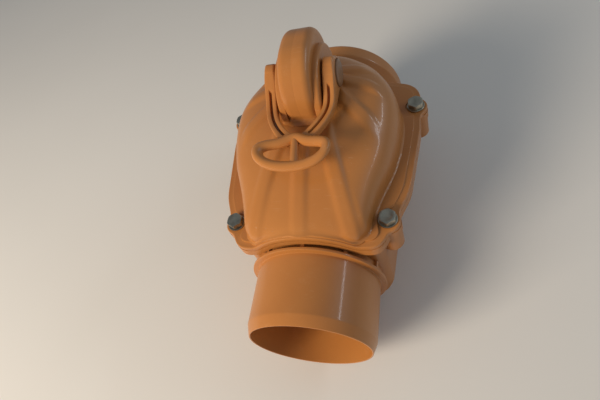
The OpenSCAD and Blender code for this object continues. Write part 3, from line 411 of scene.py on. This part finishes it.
def eased(r, width):
    """Radii round the outline, smoothed by a bell-shaped weight that many rays wide."""
    k = np.arange(-4 * width, 4 * width + 1)
    w = np.exp(-0.5 * (k / width) ** 2)
    return np.convolve(np.concatenate([r[-4 * width:], r, r[:4 * width]]), w / w.sum(), "valid")


def circles(places, radius, far_side):
    """Distance along each ray to the far or near side of round spots; no hit gives 0 or a great length."""
    c = np.array(places) - hub_point
    b = ray @ c.T
    q = b ** 2 - (c ** 2).sum(1) + radius ** 2
    hit = (q > 0) & (b > 0)
    root = np.sqrt(np.maximum(q, 0))
    return np.where(hit, b + root, 0).max(1) if far_side else np.where(hit, b - root, 1e6).min(1)


def outline(r):
    """Points and outward normals of the closed curve at distance r from the hub point on each ray."""
    p = hub_point + r[:, None] * ray
    e = np.roll(p, -1, 0) - np.roll(p, 1, 0)
    return p, np.stack([e[:, 1], -e[:, 0]], -1) / np.linalg.norm(e, axis=1)[:, None]


mirrored = flange_half[::-1] * [-1, 1]
flange_pts = np.vstack([flange_half, [[0, tail]], mirrored])
flange_radii = np.array(flange_round + [tail_round] + flange_round[::-1])
plate_reach = reach(rounded(flange_pts, flange_radii))
edge_reach = eased(np.maximum(plate_reach, circles(bolt_places, lobe_r, True)), 3)
turn = np.linspace(0, 1, 60)


def dome_plan(o):
    """Plan of the dome's foot drawn out by o: a round rear, tapered sides and two rounded front corners."""
    rear = -dome_taper + turn * (np.pi + 2 * dome_taper)
    left = np.pi + dome_taper + turn * (np.pi / 2 - dome_taper)
    front = 1.5 * np.pi + turn * (np.pi / 2 - dome_taper)
    return np.vstack([np.stack([cx + r * np.cos(a), cy + r * np.sin(a)], -1) for cx, cy, r, a in (
        (0, dome_y, dome_r + o, rear), (-corner_x, corner_y, dome_corner + o, left),
        (corner_x, corner_y, dome_corner + o, front))])


foot_reach = reach(dome_plan(0.0))
step_reach = reach(rounded(inset(flange_pts, step_in), flange_radii - step_in))
step_reach = np.minimum(step_reach, circles(bolt_places, seat_r, False))
step_reach = eased(np.clip(step_reach, foot_reach + 1.4, edge_reach - 1.9), 3)
edge, edge_out = outline(edge_reach)
step, step_out = outline(step_reach)
inner, inner_out = outline(reach(dome_plan(-2.0)))


def rim(curve, normals, d, o):
    """A curve drawn out by d and laid on the saddle surface o over the parting line."""
    p = curve + d * normals
    return np.column_stack([p, saddle(p[:, 0], o)])


# Each pair is a distance in from the flange's edge, or out from the step's, and a height over the parting
# line.
flange_steps = ((6, 0.02), (1.4, 0.02), (0.5, 0.05), (0.15, 0.2), (0, 0.55), (0, 2.4), (0, 4.0), (0.1, 4.5),
                (0.35, 4.8), (0.8, 4.98), (1.5, cover_t))
step_steps = ((0.35, cover_t), (0.12, 5.1), (0, 5.4), (0, 6.0), (-0.1, 6.3), (-0.4, 6.48),
              (-0.9, cover_t + step_t))
cover_rows = [rim(inner, inner_out, 0, 0.02)]
cover_rows += [rim(edge, edge_out, -d, o) for d, o in flange_steps]
cover_rows += [rim(step, step_out, d, o) for d, o in step_steps]
cover_rows += [rim(inner, inner_out, 0, cover_t + step_t)]
cover_flange = surface(np.array(cover_rows), loop=True)

# Dome: high blown-up lid over the chamber, squarish in section, with low radial ribs that run from the fin's
# foot down the front and the sides. Its foot meets the flange in a small fillet.
crown_z, crown_fall, power, wall, rib_h, rib_w = 102.0, 0.0018, 3.9, 4.0, 3.0, 13.0
rib_angles, rib_y = np.radians([0, 16, 43, 70, 97]), -22.0
rib_grow, side_rib, side_rib_fade, rib_foot = (0.30, 0.46), 0.6, (0.88, 0.70), 0.7
swell_rise, swell_fall = (1.0, 2.1), (2.78, 2.2)
fillet, slot_half, slot_reach, dome_swell = 2.4, 10.0, 27.0, 9.0


def smooth(low, high, v):
    """Smooth step from 0 at low to 1 at high."""
    t = np.clip((v - low) / (high - low), 0, 1)
    return t * t * (3 - 2 * t)


def foot(a):
    """Distance of the dome's foot from its centre, swollen between the bolts; a is the angle from the
    rear."""
    cy, side = corner_y - dome_y, np.pi / 2 + dome_taper
    tip = np.array([corner_x + dome_corner * np.cos(dome_taper), cy - dome_corner * np.sin(dome_taper)])
    b = np.sin(a) * corner_x + np.cos(a) * cy
    round_part = b + np.sqrt(np.maximum(b * b - corner_x ** 2 - cy ** 2 + dome_corner ** 2, 0))
    with np.errstate(divide="ignore"):
        flank = dome_r / np.cos(a - side)
        front = (dome_y - dome_front) / np.cos(np.pi - a)
    plain = np.where(a < side, dome_r, np.where(a < np.arctan2(*tip), flank, np.where(
        a < np.arctan2(corner_x, dome_front - dome_y), round_part, front)))
    return plain + dome_swell * smooth(*swell_rise, a) * smooth(*swell_fall, a)


def dome_skin(rows, columns, w):
    """Superellipse dome: the foot's radius shrinks by c and the height grows by up, both from one angle that
    ends at the edge of the fin's slot. Ribs spread from one point and are added across the skin; each falls
    off with the distance from its line. w is the wall that is left off."""
    a = np.linspace(-np.pi, np.pi, columns, endpoint=False)[None, :]
    b = np.abs(a)
    r = foot(b) - w
    with np.errstate(divide="ignore"):
        slot = np.minimum(slot_half / np.abs(np.sin(a)), slot_reach / np.abs(np.cos(a))) / r
    last = np.arctan2((1 - slot ** power) ** (1 / power), slot)
    phi = np.linspace(0, 1, rows)[:, None] * last
    size = (np.cos(phi) ** power + np.sin(phi) ** power) ** (1 / power)
    c, up = np.cos(phi) / size, np.sin(phi) / size
    u_x, u_y = (c * r * np.sin(b))[..., None], (c * r * np.cos(b) + dome_y - rib_y)[..., None]
    ahead_of = u_x * np.sin(rib_angles) - u_y * np.cos(rib_angles)
    beside = np.abs(u_x * np.cos(rib_angles) + u_y * np.sin(rib_angles))
    beside = np.where(ahead_of > 0, beside, 1e3)
    ends = np.where(rib_angles > side_rib, smooth(*side_rib_fade, c)[..., None], 1.0)
    bump = 0 if w else rib_h * smooth(*rib_grow, c) * (ends * np.exp(-(2 * beside / rib_w) ** 4)).max(-1)
    steep = c ** (power - 1) / (c ** (power - 1) + up ** (power - 1))
    q = c * r + bump * steep * smooth(0, rib_foot, up)
    base_z = saddle(foot(b) * np.sin(a), cover_t / 2)
    y = q * np.cos(a) + dome_y
    z = base_z + up * (crown_z - crown_fall * (y - dome_y) ** 2 - w - base_z) + bump * (1 - steep)
    if not w:
        h = np.clip(z - saddle(q * np.sin(a), cover_t + step_t), 0, fillet)
        q = q + fillet - np.sqrt(fillet ** 2 - (fillet - h) ** 2)
    return np.stack([q * np.sin(a) + 0 * z, q * np.cos(a) + dome_y + 0 * z, z], -1)


outside, inside = dome_skin(110, 480, 0.0), dome_skin(40, 480, wall)
dome = surface(np.concatenate([inside[::-1], outside]), loop=True, flip=True)

# Fin: hollow rounded slab on the dome's crown in which the lock finger turns, with a flat shoulder on each
# side that carries the lever shaft. Both are moulded with the dome and grow out of it in a fillet.
fin_y, fin_foot = -42.0, 94.5


def dome_top(x, y):
    """Height of the dome's plain skin at a place in plan."""
    q, a = np.hypot(x, y - dome_y), np.abs(np.arctan2(x, y - dome_y))
    c = np.clip(q / foot(a), 0, 0.999)
    low = saddle(foot(a) * np.sin(a), cover_t / 2)
    return low + (1 - c ** power) ** (1 / power) * (crown_z - crown_fall * (y - dome_y) ** 2 - low)


def slab(radius, mid_z, behind, x_low, x_high, round_low, round_high, hollow, flare_r, groove=0.0):
    """Slab with a round rim whose rear half is set behind: its section across runs up one side, round two
    softened corners and down the other, and is carried round the rim; each side is ruled from the rim to the
    foot's chord. A fine groove may mark the mould's parting line, and where the slab meets the dome it flares
    out in a fillet, which fades where the skin faces up."""
    columns = 200
    low = np.arcsin((fin_foot - mid_z) / radius)
    psi = np.linspace(low, np.pi - low, columns)[None, :]
    mid_y = fin_y + np.where(np.cos(psi) > 0, behind, 0.0)
    chord = np.linspace(fin_y + behind + radius * np.cos(low), fin_y - radius * np.cos(low), columns)
    bend = np.linspace(0, np.pi / 2, 12)
    line, dip = np.array([[-0.5, 0], [-0.18, 0.6], [0, 1], [0.18, 0.6], [0.5, 0]])[:5 if groove else 0].T
    nx = np.concatenate([-np.cos(bend), 0 * line, np.cos(bend[::-1])])
    nr = np.concatenate([np.sin(bend), 0 * line + 1, np.sin(bend[::-1])])
    middle = (x_low + x_high + round_low - round_high) / 2
    x = np.concatenate([x_low + round_low * (1 - np.cos(bend)), middle + line,
                        x_high - round_high * (1 - np.cos(bend[::-1]))])
    r = radius - np.concatenate([round_low * (1 - np.sin(bend)), groove * dip,
                                 round_high * (1 - np.sin(bend[::-1]))])
    skin = np.stack([np.repeat(x[:, None], columns, 1), mid_y + r[:, None] * np.cos(psi),
                     mid_z + r[:, None] * np.sin(psi)], -1)
    rise = (np.linspace(0, 1, 31)[:-1] ** 1.5)[:, None]
    sides = []
    for k in (0, -1):
        y = chord + rise * (skin[k, :, 1] - chord)
        z = fin_foot + rise * (skin[k, :, 2] - fin_foot)
        sides.append(np.stack([np.full(y.shape, x[k]), y, z], -1))
    outer = np.concatenate([sides[0], skin, sides[1][::-1]])
    flat = np.ones(30)
    n_x = np.concatenate([-flat, nx, flat])[:, None]
    n_y = np.concatenate([0 * flat, nr, 0 * flat])[:, None] * np.cos(psi)
    size = np.maximum(np.hypot(n_x, n_y), 1e-6)
    h = np.clip(outer[..., 2] - dome_top(outer[..., 0], outer[..., 1]), 0, flare_r)
    flare = (flare_r - np.sqrt(flare_r ** 2 - (flare_r - h) ** 2)) * smooth(0, 0.3, np.hypot(n_x, n_y))
    outer[..., 0] += flare * n_x / size
    outer[..., 1] += flare * n_y / size
    inner_r, share = radius - hollow, (radius - hollow) / radius
    top_y, top_z = mid_y[0] + inner_r * np.cos(psi[0]), mid_z + inner_r * np.sin(psi[0])
    low_y = mid_y[0] + share * (chord - mid_y[0])
    foot_z = np.full(columns, fin_foot)
    lining = [np.stack([np.full(columns, at), y, z], -1) for at, y, z in (
        (x_high - hollow, low_y, foot_z), (x_high - hollow, top_y, top_z),
        (x_low + hollow, top_y, top_z), (x_low + hollow, low_y, foot_z))]
    grid = np.concatenate([outer, np.array(lining)])
    return surface(np.swapaxes(grid, 0, 1), tips=(True, True), flip=True)


fin = slab(radius=37.2, mid_z=114.3, behind=8, x_low=-13.6, x_high=13.6, round_low=6.5, round_high=6.5,
           hollow=3.8, flare_r=6.0, groove=0.08)
shoulder_right = slab(radius=36, mid_z=103.0, behind=2, x_low=12.5, x_high=18.8, round_low=0.5,
                      round_high=2.5, hollow=2, flare_r=2.0)
shoulder_left = slab(radius=36, mid_z=103.0, behind=2, x_low=-18.8, x_high=-12.5, round_low=2.5,
                     round_high=0.5, hollow=2, flare_r=2.0)
cover_plastic = plastic("cover_plastic", (0.50, 0.200, 0.050, 1), (0.45, 0.170, 0.040, 1), 0.42, 1.0)
piece("cover_rim", [cover_flange], cover_plastic, "valve", ["cover"])
piece("cover_dome", [dome], cover_plastic, "valve", ["cover"])
piece("cover_fin", [fin, shoulder_right, shoulder_left], cover_plastic, "valve", ["cover"])

# Bolts: four zinc plated hexagon bolts with washers through the flange lobes, each drawn up by a nut that is
# held in the boss below.
zinc, nodes, links, bsdf = new_material("bolt_zinc")
where = nodes.new("ShaderNodeTexCoord").outputs["Object"]
bloom = ramp(nodes, links, noise(nodes, links, where, 180.0, 5.0), 0.35, 0.7)
speck = ramp(nodes, links, noise(nodes, links, where, 1500.0, 2.0), 0.55, 0.75)
links.new(mixed(nodes, links, bloom, (0.48, 0.46, 0.38, 1), (0.31, 0.30, 0.25, 1)), bsdf.inputs["Base Color"])
links.new(maths(nodes, links, "ADD", ramp(nodes, links, bloom, 0, 1, 0.36, 0.52),
                maths(nodes, links, "MULTIPLY", speck, 0.1)), bsdf.inputs["Roughness"])
grain = nodes.new("ShaderNodeBump")
grain.inputs["Strength"].default_value = 0.25
grain.inputs["Distance"].default_value = 0.0002
links.new(noise(nodes, links, where, 900.0, 4.0), grain.inputs["Height"])
links.new(grain.outputs["Normal"], bsdf.inputs["Normal"])
bsdf.inputs["Metallic"].default_value = 1.0
seat_z, washer_t, washer_r, washer_hole, head_h, across_flats = 51.5, 1.6, 8.0, 4.15, 5.28, 13.0
shank_r, bolt_low, thread_len, thread_depth, pitch = 4.0, 15.5, 12.0, 0.62, 1.25
nut_z, nut_h, nut_hole, bearing_r, bevel_r = 17.5, 6.4, 4.1, 5.9, across_flats / 2 * 0.96
hex_a = np.linspace(0, 2 * np.pi, 96, endpoint=False)


def hexagon(flats, soft):
    """Distance from the middle to a hexagon's edge at each angle, its corners drawn in by soft."""
    a = (hex_a + np.pi / 6) % (np.pi / 3) - np.pi / 6
    return np.minimum(flats / 2 / np.cos(a), flats / np.sqrt(3) - soft)


def standing(radii, heights, at):
    """Rows of radii round an upright axis at the given heights, moved to a place in plan."""
    r = np.array([np.broadcast_to(v, hex_a.shape) for v in radii])
    z = np.array([np.broadcast_to(v, hex_a.shape) for v in heights])
    return np.stack([at[0] + r * np.cos(hex_a), at[1] + r * np.sin(hex_a), z], -1)


hex_r = hexagon(across_flats, 0.25)
chamfer = (hex_r - bevel_r) * 0.58
under = seat_z + washer_t
top = under + head_h
head = [0.2, bearing_r, hex_r - 0.15, hex_r, hex_r, bevel_r, across_flats / 2 * 0.9, 4.6, 4.3, 0.3]
head_z = [under, under, under + 0.02, under + 0.2, top - chamfer, top - 0.06, top, top, top - 0.18,
          top - 0.2]
thread_z = np.linspace(bolt_low, bolt_low + thread_len, 90)[:, None]
thread_r = shank_r - thread_depth * np.abs(2 * ((thread_z / pitch - hex_a / (2 * np.pi)) % 1.0) - 1)
thread_r *= 1 - 0.22 * smooth(bolt_low + 1.2, bolt_low, thread_z)
shank = list(thread_r) + [shank_r, shank_r]
shank_z = list(thread_z[:, 0]) + [bolt_low + thread_len + 1, under]
washer = [washer_hole, washer_r - 0.3, washer_r, washer_r, washer_r - 0.3, washer_hole]
washer_z = [seat_z, seat_z, seat_z + 0.25, under - 0.3, under, under]
nut = [nut_hole, bearing_r, hex_r, hex_r, bearing_r, nut_hole]
nut_rows = [nut_z, nut_z, nut_z + chamfer, nut_z + nut_h - chamfer, nut_z + nut_h, nut_z + nut_h]
bolts, washers, nuts = [], [], []
for place in bolt_places:
    bolts.append(surface(standing(head, head_z, place), tips=(True, True)))
    bolts.append(surface(standing(shank, shank_z, place), tips=(True, True)))
    washers.append(surface(standing(washer, washer_z, place), loop=True))
    nuts.append(surface(standing(nut, nut_rows, place), loop=True))
piece("bolts", bolts, zinc, "valve", ["cover_bolts"])
piece("washers", washers, zinc, "valve", ["cover_washers"])
piece("nuts", nuts, zinc, "valve", ["cover_nuts"])

# Lever: one moulding of two round hubs, two slit arms that bend together and a stirrup-shaped finger ring
# with a stem across it. It turns on the shaft in the fin.
pivot = np.array([0.0, -42.0, 117.0])
hub_in, hub_out, hub_r, hub_rise, hub_soft = 20.4, 30.0, 14.2, 4.6, (2.4, 2.0)
recess_r, recess_depth, hub_swell, hub_rim = 12.0, 0.8, ((112, 84), (20, 70)), (12.3, 13.2)
arm_w, arm_straight, arm_bend, arm_turn, arm_soft, more_soft = 9.4, 26.0, 45.0, np.radians(56), 0.9, 1.5
slit_w, slit_depth, slit_from, slit_turn = 2.3, 5.0, 19.6, np.radians(48)
top_line = np.array([[-5, 14], [0, 17.4], [3, 18.2], [5, 18.1], [8, 16.8], [10, 15.5], [13, 13.2], [16, 11],
                     [21, 6.8], [26.5, 2], [33, -1.9], [40, -3.1], [48, -3.6], [55, -4.4], [60, -5.6],
                     [70, -8]])
low_line = np.array([[0, -14], [12, -11], [30, -9], [45, -9.5], [63, -12.5], [70, -14]])


def arm(side):
    """Arm section, a softened upright bar with a slit in its top, carried along a straight line and then a
    bend; its top and bottom heights follow two curves of the distance ahead of the pivot, smoothed by a bell
    weight. The section's 24 points are the two top corners with the slit between, then the low corners."""
    s = np.linspace(0, arm_straight + arm_bend * arm_turn, 140)
    beta = np.clip((s - arm_straight) / arm_bend, 0, None)
    x_mid = (hub_in + hub_out) / 2 - arm_bend * (1 - np.cos(beta))
    y_mid = -np.minimum(s, arm_straight) - arm_bend * np.sin(beta)
    fine = np.linspace(-10, 75, 851)
    bell = np.exp(-0.5 * (np.arange(-60, 61) / 18) ** 2)
    lines = [np.convolve(np.interp(fine, *c.T), bell / bell.sum(), "same") for c in (top_line, low_line)]
    high, low = [np.interp(-y_mid, fine, c)[:, None] for c in lines]
    slit_to = arm_straight + arm_bend * slit_turn
    depth = (slit_depth * smooth(slit_from, slit_from + 1.2, s) * smooth(slit_to, slit_to - 1.5, s))[:, None]
    w, g, flat = arm_w / 2, slit_w / 2, np.zeros(8)
    e = arm_soft + more_soft * smooth(16, 4, s)[:, None]
    arc, back = np.array([0, 0.134, 0.5, 1]), np.array([1, 0.5, 0.134, 0])
    edge_side = np.repeat([-1, 0, 0, 1, 1, -1], 4)
    inward = np.concatenate([arc, flat, back, arc, back])
    upward = np.concatenate([back, flat, arc, back, arc])
    slit = np.zeros(24)
    slit[4:12] = [-g - 0.35, -g - 0.1, -g, -g, g, g, g + 0.1, g + 0.35]
    cut = np.zeros(24)
    cut[4:12] = [0, 0.03, 0.12, 1, 1, 0.12, 0.03, 0]
    n = slit + edge_side * (w - inward * e)
    z = np.where(np.arange(24) > 15, low + upward * e, high - upward * e - depth * cut)
    x = x_mid[:, None] + n * np.cos(beta)[:, None]
    y = y_mid[:, None] - n * np.sin(beta)[:, None]
    return surface(np.stack([side * x, y, z], -1) + pivot, tips=(True, True), flip=side < 0)


def hub(side):
    """Hub: a softened disc about the shaft, swollen up and ahead where the arm leaves it; theta is the angle
    from straight ahead. A shallow round recess takes the cap."""
    floor_x = hub_out - recess_depth
    line = softened([[0, hub_in], [hub_r, hub_in], [hub_r, hub_out], [recess_r + 0.2, hub_out],
                     [recess_r, floor_x], [0, floor_x]], [*hub_soft, 0.4, 0.2])[1:-1]
    line[:, 1] *= side
    rows = turned(line, 96, "x", pivot)
    theta = np.degrees(np.arctan2(rows[..., 2] - pivot[2], pivot[1] - rows[..., 1]))
    swell = smooth(*hub_swell[0], theta) * smooth(*hub_swell[1], theta) * smooth(*hub_rim, line[:, :1])
    rows[..., 1:] += hub_rise / hub_r * swell[..., None] * (rows[..., 1:] - pivot[1:])
    return surface(rows, tips=(True, True), flip=side > 0)


def along(path, radius, count, closed):
    """Round bar carried along a path in the ring's plane: at each point a circle across the path's
    direction."""
    d = (np.roll(path, -1, 0) - np.roll(path, 1, 0)) if closed else np.gradient(path, axis=0)
    d /= np.linalg.norm(d, axis=1)[:, None]
    b = np.linspace(0, 2 * np.pi, count, endpoint=False)
    across = np.stack([d[:, 1], -d[:, 0]], -1)
    flat = path[:, None] + radius * np.cos(b)[None, :, None] * across[:, None]
    return np.concatenate([flat, np.broadcast_to(radius * np.sin(b), flat.shape[:2])[..., None]], -1)


ring_half, ring_front, ring_rear, notch, notch_w, bar_r = 28.2, 13.7, 9.0, 5.0, 8.0, 4.2
ring_tip, ring_place, ring_lift, lift_at = np.radians(182.5), np.array([0.0, -77.5, -6.1]), 4.4, 28.0
stem_lean, stem_r = 3.0, 3.3


def placed(points):
    """From the ring's plane to its place before the arms: ends bent up, tipped about the cross axis, moved
    out."""
    x, y, z = np.moveaxis(points, -1, 0)
    z = z - ring_lift * (x / lift_at) ** 2
    c, s = np.cos(ring_tip), np.sin(ring_tip)
    return np.stack([x, y * c - z * s, y * s + z * c], -1) + pivot + ring_place


# The ring's line is a superellipse that is fuller in front, with a bell-shaped notch to the rear at its
# middle; it is cut into even steps, then smoothed.
ring_a = np.linspace(0, 2 * np.pi, 2880, endpoint=False)
ring_cos, ring_sin = np.cos(ring_a), np.sin(ring_a)
ring_x = ring_half * np.sign(ring_cos) * np.abs(ring_cos) ** 0.82
ring_back = -ring_rear * np.abs(ring_sin) ** 0.9 - notch * np.exp(-(ring_x / notch_w) ** 2)
ring_y = np.where(ring_sin > 0, ring_front * np.abs(ring_sin) ** 0.87, ring_back)
ring_path = np.stack([ring_x, ring_y], -1)
ring_edges = np.diff(np.vstack([ring_path, ring_path[:1]]), axis=0)
walk = np.append(0, np.cumsum(np.linalg.norm(ring_edges, axis=1)))
even = np.linspace(0, walk[-1], 220, endpoint=False)
ring_path = np.stack([np.interp(even, walk, np.append(v, v[0])) for v in ring_path.T], -1)
bell = np.exp(-0.5 * (np.arange(-9, 10) / 3.0) ** 2)
bell /= bell.sum()
ring_path = np.vstack([ring_path[-9:], ring_path, ring_path[:9]])
ring_path = np.stack([np.convolve(v, bell, "valid") for v in ring_path.T], -1)
finger_ring = surface(placed(along(ring_path, bar_r, 28, True)), loop=True, flip=True)
stem_path = np.stack([np.linspace(0, stem_lean, 12), np.linspace(-ring_rear - notch, ring_front, 12)], -1)
stem = surface(placed(along(stem_path, stem_r, 20, False)), tips=(True, True), flip=True)
lever_plastic = plastic("lever_plastic", (0.52, 0.210, 0.054, 1), (0.47, 0.180, 0.044, 1), 0.42, 1.2)
piece("lever_arms", [arm(1), arm(-1), hub(1), hub(-1), finger_ring, stem], lever_plastic, "lever",
      ["lever"])

# Caps: a flat disc of darker plastic with a bevelled rim for each hub, pressed into the hub's recess over
# the shaft's end to keep dirt out of the bearing.
cap_r, cap_rise, cap_bevel, cap_base = 11.5, 2.0, (2.0, 0.8), hub_out - 0.7
cap_plastic = plastic("cap_plastic", (0.28, 0.145, 0.07, 1), (0.22, 0.115, 0.055, 1), 0.42, 1.0)
cap_line = softened([[0, cap_base], [cap_r, cap_base], [cap_r, hub_out + cap_rise - cap_bevel[1]],
                     [cap_r - cap_bevel[0], hub_out + cap_rise], [0, hub_out + cap_rise]],
                    [0.3, 0.6, 1.0])[1:-1]
for side, name in ((1, "cap_right"), (-1, "cap_left")):
    disc = surface(turned(cap_line * [1, side], 96, "x", pivot), tips=(True, True), flip=side > 0)
    piece(name + "_disc", [disc], cap_plastic, "lever", [name])

# Inner works: seat, flap, clamp ring and lock finger moulded in the same plastic, black rubber seals and
# gaskets, and plated steel pins, clips and screws. Their forms come straight from the construction.
inner_plastic = plastic("inner_plastic", (0.44, 0.17, 0.05, 1), (0.38, 0.145, 0.042, 1), 0.38, 0.6)
for node in ("seat_insert", "flap", "seal_clamp", "lock_finger"):
    dress(node, inner_plastic)
seal_rubber, nodes, links, bsdf = new_material("seal_rubber")
where = nodes.new("ShaderNodeTexCoord").outputs["Object"]
bloom = ramp(nodes, links, noise(nodes, links, where, 90.0, 5.0), 0.4, 0.75)
links.new(mixed(nodes, links, bloom, (0.018, 0.018, 0.020, 1), (0.05, 0.05, 0.05, 1)),
          bsdf.inputs["Base Color"])
links.new(ramp(nodes, links, bloom, 0, 1, 0.5, 0.75), bsdf.inputs["Roughness"])
grain = nodes.new("ShaderNodeBump")
grain.inputs["Strength"].default_value = 0.2
grain.inputs["Distance"].default_value = 0.0003
links.new(noise(nodes, links, where, 1200.0, 3.0), grain.inputs["Height"])
links.new(grain.outputs["Normal"], bsdf.inputs["Normal"])
for node in ("socket_seal", "seat_gasket", "flap_seal", "cover_gasket", "shaft_seals"):
    dress(node, seal_rubber)
for node in ("seat_screws", "clamp_screws", "hinge_pin", "hinge_clips", "lever_shaft", "finger_pin"):
    dress(node, zinc)
